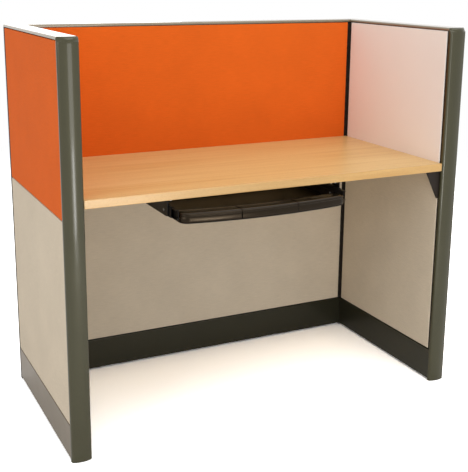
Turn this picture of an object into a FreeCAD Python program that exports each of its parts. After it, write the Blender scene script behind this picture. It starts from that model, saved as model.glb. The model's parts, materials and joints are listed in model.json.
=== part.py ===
import FreeCAD
import Part
import math
import os

# Cubicle workstation: three tiled panels round a worktop with a pull-out keyboard tray.
# Millimetres. X runs along the back panel, the open front faces -Y, Z is up from the floor.
# The origin is on the floor, midway across the width and midway between the tray's front and the back.

# Overall size
panel_height = 1200.0
overall_width = 1320.0
side_panel_depth = 640.0
panel_thickness = 60.0

# Panel tiles
tile_thickness = 10.0
tile_edge_radius = 2.0
tile_joint = 3.0
outer_split_height = 711.0
inner_split_height = 749.0
reveal_width = 9.0
outer_tile_gap = 0.6

# Welded panel frames
upright_width = 25.0
frame_wall = 2.0
top_rail_height = 30.0
middle_rail_height = 62.0
bottom_rail_height = 34.0
frame_ground_gap = 13.0
standard_recess = 3.0
slot_width = 3.2
slot_height = 14.0
slot_pitch = 30.0
slot_floor = 1.0
slot_margin = 12.0

# Base raceway covers
cover_bottom = 7.0
cover_top = 113.0
cover_wall = 1.8
cover_edge_radius = 2.5
cover_gap = 0.6

# Caps along the top of the panels
cap_height = 8.0
cap_edge_radius = 5.0
cap_leg = 3.0
cap_leg_inset = 14.0
cap_leg_length = 10.0
cap_gap = 0.3

# End trims at the open front and their caps
trim_depth = 16.0
trim_bow = 7.0
trim_corner = 9.0
trim_wall = 2.5
trim_ground_gap = 1.0
end_cap_height = 18.0
end_cap_radius = 15.0

# Corner posts at the back
post_corner_radius = 12.0
post_wall = 2.5
post_foot_plate = 3.0
post_edge_width = 24.0

# Bolts that join the frames to the corner posts
bolt_radius = 4.0
bolt_hole_clearance = 0.1
bolt_head_radius = 6.5
bolt_head_height = 5.0
bolt_projection = 10.0
nut_height = 6.0
low_bolt_rise = 47.0
high_bolt_drop = 72.0

# Levelling feet
foot_radius = 12.0
foot_height = 6.0
foot_edge_radius = 1.5
stud_radius = 4.0
stud_clearance = 0.08
stud_length = 62.0
socket_height = 22.0
socket_clearance = 0.2

# Worktop
worktop_height = 765.0
worktop_thickness = 25.0
worktop_setback = 9.0
worktop_gap = 0.5
edge_band_thickness = 2.0
edge_band_radius = 1.6

# Worktop brackets
bracket_sheet = 2.5
bracket_reach = 52.0
bracket_drop = 93.0
bracket_nose = 7.0
bracket_lip = 5.0
bracket_flange = 30.0
flat_bracket_drop = 38.0
bracket_screw_spacing = 24.0
bracket_clearance = 0.3
tab_clearance = 0.5

# Wood screws up into the worktop
screw_radius = 2.0
screw_hole_clearance = 0.1
screw_length = 18.0
screw_head_radius = 4.2
screw_head_height = 2.6

# Keyboard tray
tray_width = 542.0
tray_depth = 274.0
tray_bow = 26.0
tray_offset = -70.0
tray_corner = 30.0
tray_height = 27.0
tray_wall = 3.0
tray_drop = 59.0
tray_lower_radius = 6.0
tray_rear_wall_height = 14.0
tray_reach_at_rest = 70.0

# Palm pads on the tray
pad_depth = 58.0
pad_height = 27.0
pad_edge_radius = 7.0
pad_gap = 2.0
pad_clearance = 0.3
centre_pad_width = 184.0

# Telescoping slides and their hangers
slide_length = 350.0
slide_height = 35.0
slide_thickness = 12.7
slide_sheet = 1.3
slide_clearance = 0.35
slide_rise = 24.5
slide_front = 35.0
hanger_sheet = 2.5
hanger_flange = 20.0
hanger_edge_margin = 4.0
hanger_overhang = 15.0
hanger_length = 40.0
hanger_screw_spacing = 24.0
closing_travel = 60.0

# Rivets that hold the slides
rivet_radius = 2.0
rivet_clearance = 0.08
rivet_head_radius = 4.0
rivet_head_height = 1.5
hanger_rivet_inset = 12.5
tray_rivet_front_inset = 70.0
tray_rivet_rear_inset = 60.0

# One overrun serves every cut
overrun = 5.0

# Places worked out from the sizes above
front_y = (tray_reach_at_rest - side_panel_depth) / 2
rear_y = front_y + side_panel_depth
half_width = overall_width / 2
half_thickness = panel_thickness / 2
core_outer = tile_thickness
core_inner = panel_thickness - tile_thickness
cap_bottom = panel_height - cap_height
frame_top = cap_bottom - cap_leg_length
tile_top = cap_bottom - tile_joint
tile_bottom = cover_top + tile_joint
post_start = side_panel_depth - panel_thickness
worktop_underside = worktop_height - worktop_thickness
standard_face = panel_thickness - standard_recess
tray_bottom = worktop_underside - tray_drop
slide_centre_height = tray_bottom + slide_rise
hanger_lower_edge = slide_centre_height - slide_height / 2 + hanger_edge_margin
tray_front_y = front_y - tray_reach_at_rest
tray_rear_y = tray_front_y + tray_bow + tray_depth
low_bolt_height = cover_top + low_bolt_rise
high_bolt_height = frame_top - high_bolt_drop
bolt_heights = (low_bolt_height, (low_bolt_height + high_bolt_height) / 2, high_bolt_height)
panels = ("left", "back", "right")

parts = {}


# Panel coordinates: s runs along the panel, n from its outer face inwards, z up
def at(panel, s, n, z):
    if panel == "left":
        return FreeCAD.Vector(n - half_width, front_y + s, z)
    if panel == "right":
        return FreeCAD.Vector(half_width - n, front_y + s, z)
    return FreeCAD.Vector(s - half_width, rear_y - n, z)


def box_between(a, b):
    low = FreeCAD.Vector(min(a.x, b.x), min(a.y, b.y), min(a.z, b.z))
    high = FreeCAD.Vector(max(a.x, b.x), max(a.y, b.y), max(a.z, b.z))
    size = high - low
    return Part.makeBox(size.x, size.y, size.z, low)


def panel_box(panel, s_range, n_range, z_range):
    start = at(panel, s_range[0], n_range[0], z_range[0])
    end = at(panel, s_range[1], n_range[1], z_range[1])
    return box_between(start, end)


def rod(start, end, radius):
    along = end - start
    return Part.makeCylinder(radius, along.Length, start, along)


def prism(edges, height):
    return Part.Face(Part.Wire(edges)).extrude(FreeCAD.Vector(0, 0, height))


def polygon_edges(points):
    closed = points + points[:1]
    return [Part.LineSegment(a, b).toShape() for a, b in zip(closed, closed[1:])]


def joined(shapes):
    whole = shapes[0].multiFuse(shapes[1:]) if len(shapes) > 1 else shapes[0]
    return whole.removeSplitter()


def cut_away(shape, tools):
    return shape.cut(Part.makeCompound(tools)) if tools else shape


def edges_where(shape, test):
    return [edge for edge in shape.Edges if all(test(vertex.Point) for vertex in edge.Vertexes)]


def same(a, b):
    return abs(a - b) < overrun / 1000


# Tests whether a point lies at depth n in the panel
def on_face(panel, n):
    face = at(panel, 0, n, 0)
    if panel == "back":
        return lambda point: same(point.y, face.y)
    return lambda point: same(point.x, face.x)


def runs_along(panel, edge):
    run = at(panel, panel_thickness, 0, 0) - at(panel, 0, 0, 0)
    step = edge.Vertexes[-1].Point - edge.Vertexes[0].Point
    return abs(step.dot(run)) > 0.99 * step.Length * run.Length


# The part of a panel's length that its frame fills, between trim or corner post at each end
def frame_span(panel):
    if panel == "back":
        return panel_thickness, overall_width - panel_thickness
    return trim_depth, post_start


# The part that its outer tiles and cover fill: they also lap over the corner post, up to the
# post's narrow edge
def outer_span(panel):
    start, end = frame_span(panel)
    lap = panel_thickness - post_edge_width
    return (start - lap if panel == "back" else start), end + lap


def upright_spans(panel):
    start, end = frame_span(panel)
    return (start, start + upright_width), (end - upright_width, end)


def post_ends(panel):
    start, end = frame_span(panel)
    return (start, end) if panel == "back" else (end,)


# Centres of the slots that the worktop brackets hook into
def slot_centres():
    first = tile_bottom + slot_margin + slot_height / 2
    count = int((frame_top - slot_margin - slot_height / 2 - first) / slot_pitch) + 1
    return [first + slot_pitch * index for index in range(count)]


# Upright: a square tube with a slotted standard that shows in the reveal beside the inner tiles
def upright(panel, span, reveal):
    outside = panel_box(panel, span, (core_outer, core_inner), (frame_ground_gap, frame_top))
    bore_span = (span[0] + frame_wall, span[1] - frame_wall)
    bore_depth = (core_outer + frame_wall, core_inner - frame_wall)
    bore = panel_box(panel, bore_span, bore_depth, (frame_ground_gap - overrun, frame_top + overrun))
    standard = panel_box(panel, reveal, (core_inner, standard_face), (tile_bottom, tile_top))
    centre = (reveal[0] + reveal[1]) / 2
    slot_span = (centre - slot_width / 2, centre + slot_width / 2)
    slot_depth = (core_inner + slot_floor, standard_face + overrun)
    tools = [bore]
    for height in slot_centres():
        slot_range = (height - slot_height / 2, height + slot_height / 2)
        tools.append(panel_box(panel, slot_span, slot_depth, slot_range))
    tube = cut_away(outside, tools[:1])
    slotted = cut_away(standard, tools[1:])
    return cut_away(joined([tube, slotted]), bolt_holes(panel))


def reveals(panel):
    start, end = frame_span(panel)
    return (start, start + reveal_width), (end - reveal_width, end)


# Clearance holes for the bolts, through the upright and the corner post beside it
def bolt_holes(panel):
    holes = []
    for end in post_ends(panel):
        for height in bolt_heights:
            start = at(panel, end - frame_wall - overrun / 2, half_thickness, height)
            finish = at(panel, end + frame_wall + overrun / 2, half_thickness, height)
            holes.append(rod(start, finish, bolt_radius + bolt_hole_clearance))
    return holes


def make_frame(panel):
    spans = upright_spans(panel)
    sides = [upright(panel, span, reveal) for span, reveal in zip(spans, reveals(panel))]
    parts[panel + "_frame_uprights"] = sides
    rail_span = (spans[0][1], spans[1][0])
    split_centre = (outer_split_height + inner_split_height) / 2
    levels = (
        (frame_top - top_rail_height, frame_top),
        (split_centre - middle_rail_height / 2, split_centre + middle_rail_height / 2),
        (cover_top - bottom_rail_height, cover_top),
    )
    rails = []
    for low, high in levels:
        outside = panel_box(panel, rail_span, (core_outer, core_inner), (low, high))
        bore_depth = (core_outer + frame_wall, core_inner - frame_wall)
        bore = panel_box(panel, rail_span, bore_depth, (low + frame_wall, high - frame_wall))
        rails.append(outside.cut(bore))
    parts[panel + "_frame_rails"] = rails


# Tile: a flat board whose visible face has eased edges
def tile(panel, s_range, z_range, inner):
    n_range = (core_inner, panel_thickness) if inner else (0, tile_thickness)
    board = panel_box(panel, s_range, n_range, z_range)
    rims = edges_where(board, on_face(panel, panel_thickness if inner else 0))
    return board.makeFillet(tile_edge_radius, rims)


def make_tiles(panel):
    for inner in (False, True):
        start, end = frame_span(panel) if inner else outer_span(panel)
        side = "inner" if inner else "outer"
        split = inner_split_height if inner else outer_split_height
        margin = reveal_width if inner else outer_tile_gap
        s_range = (start + margin, end - margin)
        upper = (split + tile_joint / 2, tile_top)
        lower = (tile_bottom, split - tile_joint / 2)
        parts[panel + "_" + side + "_upper_tile"] = [tile(panel, s_range, upper, inner)]
        parts[panel + "_" + side + "_lower_tile"] = [tile(panel, s_range, lower, inner)]


# Base cover: a hollow extrusion that clips against the frame and closes the cable raceway
def base_cover(panel, inner):
    start, end = frame_span(panel) if inner else outer_span(panel)
    s_range = (start + cover_gap, end - cover_gap)
    face = panel_thickness if inner else 0
    n_range = (core_inner, panel_thickness) if inner else (0, tile_thickness)
    plank = panel_box(panel, s_range, n_range, (cover_bottom, cover_top))
    rims = [edge for edge in edges_where(plank, on_face(panel, face)) if runs_along(panel, edge)]
    plank = plank.makeFillet(cover_edge_radius, rims)
    hollow = panel_box(
        panel,
        (start - overrun, end + overrun),
        (n_range[0] + cover_wall, n_range[1] - cover_wall),
        (cover_bottom + cover_wall, cover_top - cover_wall),
    )
    return plank.cut(hollow)


# Top cap: a rounded extrusion on two legs that stand on the top rail
def make_top_cap(panel):
    start, end = frame_span(panel)
    s_range = (start + cap_gap, end - cap_gap)
    bar = panel_box(panel, s_range, (0, panel_thickness), (cap_bottom, panel_height))
    upper = edges_where(bar, lambda point: same(point.z, panel_height))
    bar = bar.makeFillet(cap_edge_radius, [edge for edge in upper if runs_along(panel, edge)])
    legs = []
    for near in (cap_leg_inset, panel_thickness - cap_leg_inset - cap_leg):
        legs.append(panel_box(panel, s_range, (near, near + cap_leg), (frame_top, cap_bottom)))
    parts[panel + "_top_cap"] = [joined([bar] + legs)]


def bow_radius(half, bow):
    return (half ** 2 + bow ** 2) / (2 * bow)


# Outline with straight sides, rounded corners and a bowed front, as points (across, depth) from
# the middle and the front. The corners run smoothly into the sides and the bow.
def bowed_points(half, depth, bow, corner, inset):
    front_radius = bow_radius(half, bow)
    corner_across = half - corner
    reach = front_radius - corner
    corner_depth = front_radius - math.sqrt(reach ** 2 - corner_across ** 2)
    toward = (corner_across / reach, (corner_depth - front_radius) / reach)
    radius = corner - inset
    turn = math.atan2(toward[1], toward[0]) / 2
    side = half - inset
    shoulder = (side, corner_depth)
    middle = (corner_across + radius * math.cos(turn), corner_depth + radius * math.sin(turn))
    tangent = (corner_across + radius * toward[0], corner_depth + radius * toward[1])
    right = [(side, depth), shoulder, middle, tangent]
    left = [(-across, away) for across, away in right]
    return left + [(0, inset)] + right[::-1]


def bowed_edges(points):
    return [
        Part.LineSegment(points[0], points[1]).toShape(),
        Part.Arc(points[1], points[2], points[3]).toShape(),
        Part.Arc(points[3], points[4], points[5]).toShape(),
        Part.Arc(points[5], points[6], points[7]).toShape(),
        Part.LineSegment(points[7], points[8]).toShape(),
        Part.LineSegment(points[8], points[0]).toShape(),
    ]


# End trim seen from above
def trim_edges(panel, inset, z):
    outline = bowed_points(half_thickness, trim_depth, trim_bow, trim_corner, inset)
    return bowed_edges([at(panel, away, half_thickness + across, z) for across, away in outline])


def make_end_trim(panel):
    top = panel_height - end_cap_height
    outside = prism(trim_edges(panel, 0, trim_ground_gap), top - trim_ground_gap)
    bore = prism(trim_edges(panel, trim_wall, trim_ground_gap - overrun), top - trim_ground_gap + 2 * overrun)
    opening = panel_box(
        panel,
        (trim_depth - trim_wall - overrun, trim_depth + overrun),
        (trim_wall, panel_thickness - trim_wall),
        (trim_ground_gap - overrun, top + overrun),
    )
    shell = cut_away(outside, [bore, opening])
    bow_share = ((half_thickness - cap_leg_inset) / half_thickness) ** 2
    leg_start = trim_bow * bow_share + trim_wall / 2
    legs = []
    for near in (cap_leg_inset, panel_thickness - cap_leg_inset - cap_leg):
        legs.append(panel_box(panel, (leg_start, trim_depth), (near, near + cap_leg), (trim_ground_gap, top)))
    parts[panel + "_end_trim"] = [joined([shell] + legs)]


# End cap: the trim's outline under a top that is rounded at both sides of the panel
def end_trim_cap(panel):
    low = panel_height - end_cap_height
    high = panel_height
    far = panel_thickness
    radius = end_cap_radius
    drop = radius * (1 - 0.5 ** 0.5)
    p = [
        at(panel, 0, 0, low),
        at(panel, 0, 0, high - radius),
        at(panel, 0, drop, high - drop),
        at(panel, 0, radius, high),
        at(panel, 0, far - radius, high),
        at(panel, 0, far - drop, high - drop),
        at(panel, 0, far, high - radius),
        at(panel, 0, far, low),
    ]
    arch = Part.Wire([
        Part.LineSegment(p[0], p[1]).toShape(),
        Part.Arc(p[1], p[2], p[3]).toShape(),
        Part.LineSegment(p[3], p[4]).toShape(),
        Part.Arc(p[4], p[5], p[6]).toShape(),
        Part.LineSegment(p[6], p[7]).toShape(),
        Part.LineSegment(p[7], p[0]).toShape(),
    ])
    run = at(panel, trim_depth, 0, 0) - at(panel, 0, 0, 0)
    return Part.Face(arch).extrude(run).common(prism(trim_edges(panel, 0, low), end_cap_height))


# Corner post: a square tube with one rounded outer corner and a welded foot plate, in its side
# panel's coordinates
def post_edges(panel, inset, z):
    near = inset
    far = panel_thickness - inset
    start = post_start + inset
    end = side_panel_depth - inset
    radius = post_corner_radius - inset
    diagonal = radius * (1 - 0.5 ** 0.5)
    p = [
        at(panel, start, near, z),
        at(panel, start, far, z),
        at(panel, end, far, z),
        at(panel, end, near + radius, z),
        at(panel, end - diagonal, near + diagonal, z),
        at(panel, end - radius, near, z),
    ]
    return [
        Part.LineSegment(p[0], p[1]).toShape(),
        Part.LineSegment(p[1], p[2]).toShape(),
        Part.LineSegment(p[2], p[3]).toShape(),
        Part.Arc(p[3], p[4], p[5]).toShape(),
        Part.LineSegment(p[5], p[0]).toShape(),
    ]


# Rebates along the post's two outer faces, in which the ends of the outer tiles lie
def post_rebates(panel, margin):
    z_range = (trim_ground_gap - overrun, cap_bottom + overrun)
    depth = tile_thickness + margin
    edge = post_edge_width - margin
    beside = panel_box(
        panel,
        (post_start - overrun, side_panel_depth - edge),
        (-overrun, depth),
        z_range,
    )
    behind = panel_box(
        panel,
        (side_panel_depth - depth, side_panel_depth + overrun),
        (edge, panel_thickness + overrun),
        z_range,
    )
    return [beside, behind]


def make_corner(panel):
    outside = prism(post_edges(panel, 0, trim_ground_gap), cap_bottom - trim_ground_gap)
    bore = prism(post_edges(panel, post_wall, trim_ground_gap + post_foot_plate), cap_bottom)
    shell = cut_away(outside, post_rebates(panel, 0)).cut(cut_away(bore, post_rebates(panel, post_wall)))
    post = cut_away(shell, bolt_holes(panel) + bolt_holes("back"))
    parts[panel + "_corner_post"] = [post]
    cap = prism(post_edges(panel, 0, cap_bottom), cap_height)
    inner_x = at(panel, 0, panel_thickness, 0).x
    inner_y = front_y + post_start
    rim = [
        edge for edge in edges_where(cap, lambda point: same(point.z, panel_height))
        if not all(same(vertex.Point.x, inner_x) for vertex in edge.Vertexes)
        and not all(same(vertex.Point.y, inner_y) for vertex in edge.Vertexes)
    ]
    return cap.makeFillet(cap_edge_radius, rim)


# Bolts and nuts between the frames and the corner posts
def make_frame_bolts():
    pieces = []
    for panel in panels:
        for end in post_ends(panel):
            into_post = -1 if panel == "back" and end == panel_thickness else 1
            for height in bolt_heights:
                seat = end - into_post * frame_wall
                head_top = seat - into_post * bolt_head_height
                far_wall = end + into_post * post_wall
                tip = far_wall + into_post * bolt_projection
                stations = (head_top, seat, far_wall, far_wall + into_post * nut_height, tip)
                p = [at(panel, station, half_thickness, height) for station in stations]
                pieces.append(joined([rod(p[0], p[1], bolt_head_radius), rod(p[1], p[4], bolt_radius)]))
                nut = rod(p[2], p[3], bolt_head_radius)
                pieces.append(nut.cut(rod(p[2], p[3], bolt_radius + bolt_hole_clearance)))
    parts["frame_bolts"] = pieces


# Levelling feet on threaded studs, in sockets inside the lower end of each upright
def make_feet():
    sockets = []
    names = {"left": ("left_front", "left_rear"), "right": ("right_front", "right_rear"),
             "back": ("back_left", "back_right")}
    for panel in panels:
        for name, span in zip(names[panel], upright_spans(panel)):
            centre = (span[0] + span[1]) / 2
            floor_point = at(panel, centre, half_thickness, 0)
            pad = Part.makeCylinder(foot_radius, foot_height, floor_point)
            pad = pad.makeFillet(foot_edge_radius, edges_where(pad, lambda point: same(point.z, foot_height)))
            stud_base = at(panel, centre, half_thickness, foot_height / 2)
            stud = Part.makeCylinder(stud_radius, stud_length - foot_height / 2, stud_base)
            parts[name + "_foot"] = [joined([pad, stud])]
            hollow = frame_wall + socket_clearance
            block = panel_box(
                panel,
                (span[0] + hollow, span[1] - hollow),
                (core_outer + hollow, core_inner - hollow),
                (frame_ground_gap, frame_ground_gap + socket_height),
            )
            bore = rod(
                at(panel, centre, half_thickness, frame_ground_gap - overrun),
                at(panel, centre, half_thickness, frame_ground_gap + socket_height + overrun),
                stud_radius + stud_clearance,
            )
            sockets.append(block.cut(bore))
    parts["foot_sockets"] = sockets


# Wood screw with its head below the plate that it holds
def wood_screw(x, y, seat):
    seat_point = FreeCAD.Vector(x, y, seat)
    head = rod(FreeCAD.Vector(x, y, seat - screw_head_height), seat_point, screw_head_radius)
    shank = rod(seat_point, FreeCAD.Vector(x, y, seat + screw_length), screw_radius)
    return joined([head, shank])


def screw_hole(x, y, low, high):
    return Part.makeCylinder(screw_radius + screw_hole_clearance, high - low, FreeCAD.Vector(x, y, low))


# Worktop bracket: a folded plate whose tabs hook into the slotted standard. The gusset kind
# has a triangular web under the worktop, and the flat kind lies against the panel instead.
def worktop_bracket(panel, reveal, turn, gusset):
    centre = (reveal[0] + reveal[1]) / 2
    web = (centre - bracket_sheet / 2, centre + bracket_sheet / 2)
    root = standard_face + bracket_clearance
    near = panel_thickness + bracket_clearance
    tip = panel_thickness + bracket_reach
    low = worktop_underside - bracket_drop
    flange_s = (centre, centre + turn * (bracket_flange + bracket_sheet / 2))
    flange_z = (worktop_underside - bracket_sheet, worktop_underside)
    pieces = [panel_box(panel, flange_s, (near, tip), flange_z)]
    if gusset:
        outline = [
            at(panel, web[0], root, worktop_underside),
            at(panel, web[0], tip, worktop_underside),
            at(panel, web[0], tip, worktop_underside - bracket_lip),
            at(panel, web[0], panel_thickness + bracket_nose, low),
            at(panel, web[0], root, low),
        ]
        through = at(panel, web[1], 0, 0) - at(panel, web[0], 0, 0)
        pieces.append(Part.Face(Part.Wire(polygon_edges(outline))).extrude(through))
    else:
        pieces.append(panel_box(panel, web, (root, near + bracket_sheet), (low, worktop_underside)))
        plate_z = (worktop_underside - flat_bracket_drop, worktop_underside)
        pieces.append(panel_box(panel, flange_s, (near, near + bracket_sheet), plate_z))
    for height in slot_centres():
        tab_z = (height - slot_height / 2 + tab_clearance, height + slot_height / 2 - tab_clearance)
        if tab_z[0] > low and tab_z[1] < worktop_underside:
            tab_n = (core_inner + slot_floor + tab_clearance, root + bracket_sheet)
            pieces.append(panel_box(panel, web, tab_n, tab_z))
    screw_s = centre + turn * (bracket_flange + bracket_sheet) / 2
    middle = panel_thickness + bracket_reach / 2
    half_spacing = bracket_screw_spacing / 2
    spots = [at(panel, screw_s, middle + offset, 0) for offset in (-half_spacing, half_spacing)]
    holes = [screw_hole(spot.x, spot.y, flange_z[0] - overrun, flange_z[1] + overrun) for spot in spots]
    return cut_away(joined(pieces), holes), [(spot.x, spot.y, flange_z[0]) for spot in spots]


# Keyboard tray seen from above, drawn in by an inset
def tray_edges(inset, z):
    depth = tray_bow + tray_depth - inset
    outline = bowed_points(tray_width / 2, depth, tray_bow, tray_corner, inset)
    points = [FreeCAD.Vector(tray_offset + across, tray_front_y + away, z) for across, away in outline]
    return bowed_edges(points)


# Where the tray's side walls start, behind its rounded front corners
def tray_wall_start():
    outline = bowed_points(tray_width / 2, tray_depth, tray_bow, tray_corner, 0)
    return tray_front_y + outline[1][1]


def make_tray(rivet_tools):
    body = prism(tray_edges(0, tray_bottom), tray_height)
    lower = edges_where(body, lambda point: same(point.z, tray_bottom))
    rear = edges_where(body, lambda point: same(point.y, tray_rear_y))
    rim = [edge for edge in lower if not any(edge.isSame(other) for other in rear)]
    body = body.makeFillet(tray_lower_radius, rim)
    well = prism(tray_edges(tray_wall, tray_bottom + tray_wall), tray_height)
    left = tray_offset - tray_width / 2 + tray_wall
    right = tray_offset + tray_width / 2 - tray_wall
    rear_notch = box_between(
        FreeCAD.Vector(left, tray_rear_y - tray_wall - overrun, tray_bottom + tray_rear_wall_height),
        FreeCAD.Vector(right, tray_rear_y + overrun, tray_bottom + tray_height + overrun),
    )
    pad_seat = box_between(
        FreeCAD.Vector(left - tray_wall - overrun, tray_front_y - overrun, tray_bottom + tray_wall),
        FreeCAD.Vector(right + tray_wall + overrun, tray_wall_start(), tray_bottom + tray_height + overrun),
    )
    parts["keyboard_tray"] = [cut_away(body, [well, rear_notch, pad_seat] + rivet_tools)]


# Palm pads: three soft pads side by side that stand on the tray's floor, form its bowed front and
# end between its side walls
def make_palm_pads():
    inset = tray_wall + pad_clearance
    floor = tray_bottom + tray_wall + pad_clearance
    top = floor + pad_height
    half_zone = tray_width / 2 + overrun
    split_y = tray_wall_start() - pad_clearance
    open_zone = box_between(
        FreeCAD.Vector(tray_offset - half_zone, tray_front_y - overrun, floor),
        FreeCAD.Vector(tray_offset + half_zone, split_y, top),
    )
    walled_zone = box_between(
        FreeCAD.Vector(tray_offset - half_zone, split_y, floor),
        FreeCAD.Vector(tray_offset + half_zone, tray_rear_y, top),
    )
    open_front = prism(tray_edges(pad_clearance, floor), pad_height).common(open_zone)
    upper = edges_where(open_front, lambda point: same(point.z, top))
    open_front = open_front.makeFillet(
        pad_edge_radius,
        [edge for edge in upper if isinstance(edge.Curve, Part.Circle)],
    )
    between_walls = prism(tray_edges(inset, floor), pad_height).common(walled_zone)
    front_radius = bow_radius(tray_width / 2, tray_bow)
    centre = FreeCAD.Vector(tray_offset, tray_front_y + front_radius, floor - overrun)
    behind = Part.makeCylinder(front_radius - inset - pad_depth, pad_height + 2 * overrun, centre)
    strip = joined([between_walls, open_front]).cut(behind)
    half_centre = centre_pad_width / 2
    half_tray = tray_width / 2
    limits = (
        (-half_tray, -half_centre - pad_gap / 2),
        (-half_centre + pad_gap / 2, half_centre - pad_gap / 2),
        (half_centre + pad_gap / 2, half_tray),
    )
    rear = tray_front_y + inset + pad_depth
    pads = []
    for low, high in limits:
        zone = box_between(
            FreeCAD.Vector(tray_offset + low, tray_front_y, floor),
            FreeCAD.Vector(tray_offset + high, rear + 2 * tray_bow, top),
        )
        pads.append(strip.common(zone))
    parts["palm_pads"] = pads


# Slide member: a channel that lies on its side, open towards the tray or away from it
def channel(y_range, x_range, height, web_at_start):
    low = slide_centre_height - height / 2
    high = slide_centre_height + height / 2
    start = FreeCAD.Vector(x_range[0], y_range[0], low)
    whole = box_between(start, FreeCAD.Vector(x_range[1], y_range[1], high))
    toward = 1 if x_range[1] > x_range[0] else -1
    if web_at_start:
        x_cut = (x_range[0] + toward * slide_sheet, x_range[1] + toward * overrun)
    else:
        x_cut = (x_range[0] - toward * overrun, x_range[1] - toward * slide_sheet)
    hollow = box_between(
        FreeCAD.Vector(x_cut[0], y_range[0] - overrun, low + slide_sheet),
        FreeCAD.Vector(x_cut[1], y_range[1] + overrun, high - slide_sheet),
    )
    return whole.cut(hollow)


def make_slides():
    closed_start = front_y + slide_front
    travel = closing_travel
    spans = {
        "outer": (closed_start, closed_start + slide_length),
        "middle": (closed_start - travel / 2, closed_start - travel / 2 + slide_length),
        "inner": (closed_start - travel, closed_start - travel + slide_length),
    }
    outer_rivet_places = (spans["outer"][0] + hanger_rivet_inset, spans["outer"][1] - hanger_rivet_inset)
    hanger_rivets = []
    tray_rivets = []
    tray_tools = []
    screw_places = []
    for side, toward in (("left", 1), ("right", -1)):
        tray_side = tray_offset - toward * tray_width / 2
        hanger_face = tray_side - toward * slide_thickness
        step = slide_sheet + slide_clearance
        middle_start = hanger_face + toward * step
        middle_end = tray_side - toward * step
        inner_start = middle_start + toward * step
        outer_end = tray_side - toward * (step + slide_clearance)
        outer = channel(spans["outer"], (hanger_face, outer_end), slide_height, True)
        middle = channel(spans["middle"], (middle_start, middle_end), slide_height - 2 * step, True)
        inner_height = slide_height - 4 * step
        inner = channel(spans["inner"], (inner_start, tray_side), inner_height, False)

        plate_outer = hanger_face - toward * hanger_sheet
        flange_end = hanger_face + toward * hanger_flange
        hanger_starts = (
            closed_start - hanger_overhang,
            closed_start + slide_length + hanger_overhang - hanger_length,
        )
        hangers = []
        for hanger_start, rivet_y in zip(hanger_starts, outer_rivet_places):
            plate = box_between(
                FreeCAD.Vector(plate_outer, hanger_start, hanger_lower_edge),
                FreeCAD.Vector(hanger_face, hanger_start + hanger_length, worktop_underside),
            )
            flange = box_between(
                FreeCAD.Vector(hanger_face, hanger_start, worktop_underside - hanger_sheet),
                FreeCAD.Vector(flange_end, hanger_start + hanger_length, worktop_underside),
            )
            hanger = joined([plate, flange])
            web_face = FreeCAD.Vector(hanger_face + toward * slide_sheet, rivet_y, slide_centre_height)
            plate_face = FreeCAD.Vector(plate_outer, rivet_y, slide_centre_height)
            head_face = FreeCAD.Vector(plate_outer - toward * rivet_head_height, rivet_y, slide_centre_height)
            hole = rod(web_face, head_face, rivet_radius + rivet_clearance)
            outer = outer.cut(hole)
            pin = rod(web_face, plate_face, rivet_radius)
            hanger_rivets.append(joined([pin, rod(plate_face, head_face, rivet_head_radius)]))
            screw_x = hanger_face + toward * hanger_flange / 2
            middle_y = hanger_start + hanger_length / 2
            seat = worktop_underside - hanger_sheet
            half_spacing = hanger_screw_spacing / 2
            screws = [(screw_x, middle_y - half_spacing), (screw_x, middle_y + half_spacing)]
            holes = [screw_hole(x, y, seat - overrun, worktop_underside) for x, y in screws]
            hangers.append(cut_away(hanger, [hole] + holes))
            screw_places += [(x, y, seat) for x, y in screws]

        tray_rivet_places = (spans["inner"][0] + tray_rivet_front_inset, tray_rear_y - tray_rivet_rear_inset)
        tray_rivet_z = (slide_centre_height - inner_height / 2 + tray_bottom + tray_height) / 2
        for rivet_y in tray_rivet_places:
            web_face = FreeCAD.Vector(tray_side - toward * slide_sheet, rivet_y, tray_rivet_z)
            wall_face = FreeCAD.Vector(tray_side + toward * tray_wall, rivet_y, tray_rivet_z)
            head_x = wall_face.x + toward * rivet_head_height
            head_face = FreeCAD.Vector(head_x, rivet_y, tray_rivet_z)
            hole = rod(web_face, head_face, rivet_radius + rivet_clearance)
            inner = inner.cut(hole)
            tray_tools.append(hole)
            pin = rod(web_face, wall_face, rivet_radius)
            head = rod(wall_face, head_face, rivet_head_radius)
            tray_rivets.append(joined([pin, head]))

        parts[side + "_tray_hangers"] = hangers
        parts[side + "_slide_outer"] = [outer]
        parts[side + "_slide_middle"] = [middle]
        parts[side + "_slide_inner"] = [inner]
    parts["hanger_rivets"] = hanger_rivets
    parts["tray_rivets"] = tray_rivets
    return screw_places, tray_tools


# Worktop board with its front edge band and the pilot holes for every screw below it
def make_worktop(screw_places):
    left = -half_width + panel_thickness + worktop_gap
    right = half_width - panel_thickness - worktop_gap
    rear = rear_y - panel_thickness - worktop_gap
    front = front_y + worktop_setback
    board = box_between(
        FreeCAD.Vector(left, front + edge_band_thickness, worktop_underside),
        FreeCAD.Vector(right, rear, worktop_height),
    )
    pilots = []
    for x, y, seat in screw_places:
        pilot_top = seat + screw_length + screw_hole_clearance
        pilots.append(screw_hole(x, y, worktop_underside - overrun, pilot_top))
    parts["worktop"] = [cut_away(board, pilots)]
    band = box_between(
        FreeCAD.Vector(left, front, worktop_underside),
        FreeCAD.Vector(right, front + edge_band_thickness, worktop_height),
    )
    front_edges = edges_where(band, lambda point: same(point.y, front))
    long_edges = [edge for edge in front_edges if runs_along("back", edge)]
    parts["worktop_edge_band"] = [band.makeFillet(edge_band_radius, long_edges)]
    parts["worktop_screws"] = [wood_screw(x, y, seat) for x, y, seat in screw_places]


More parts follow.
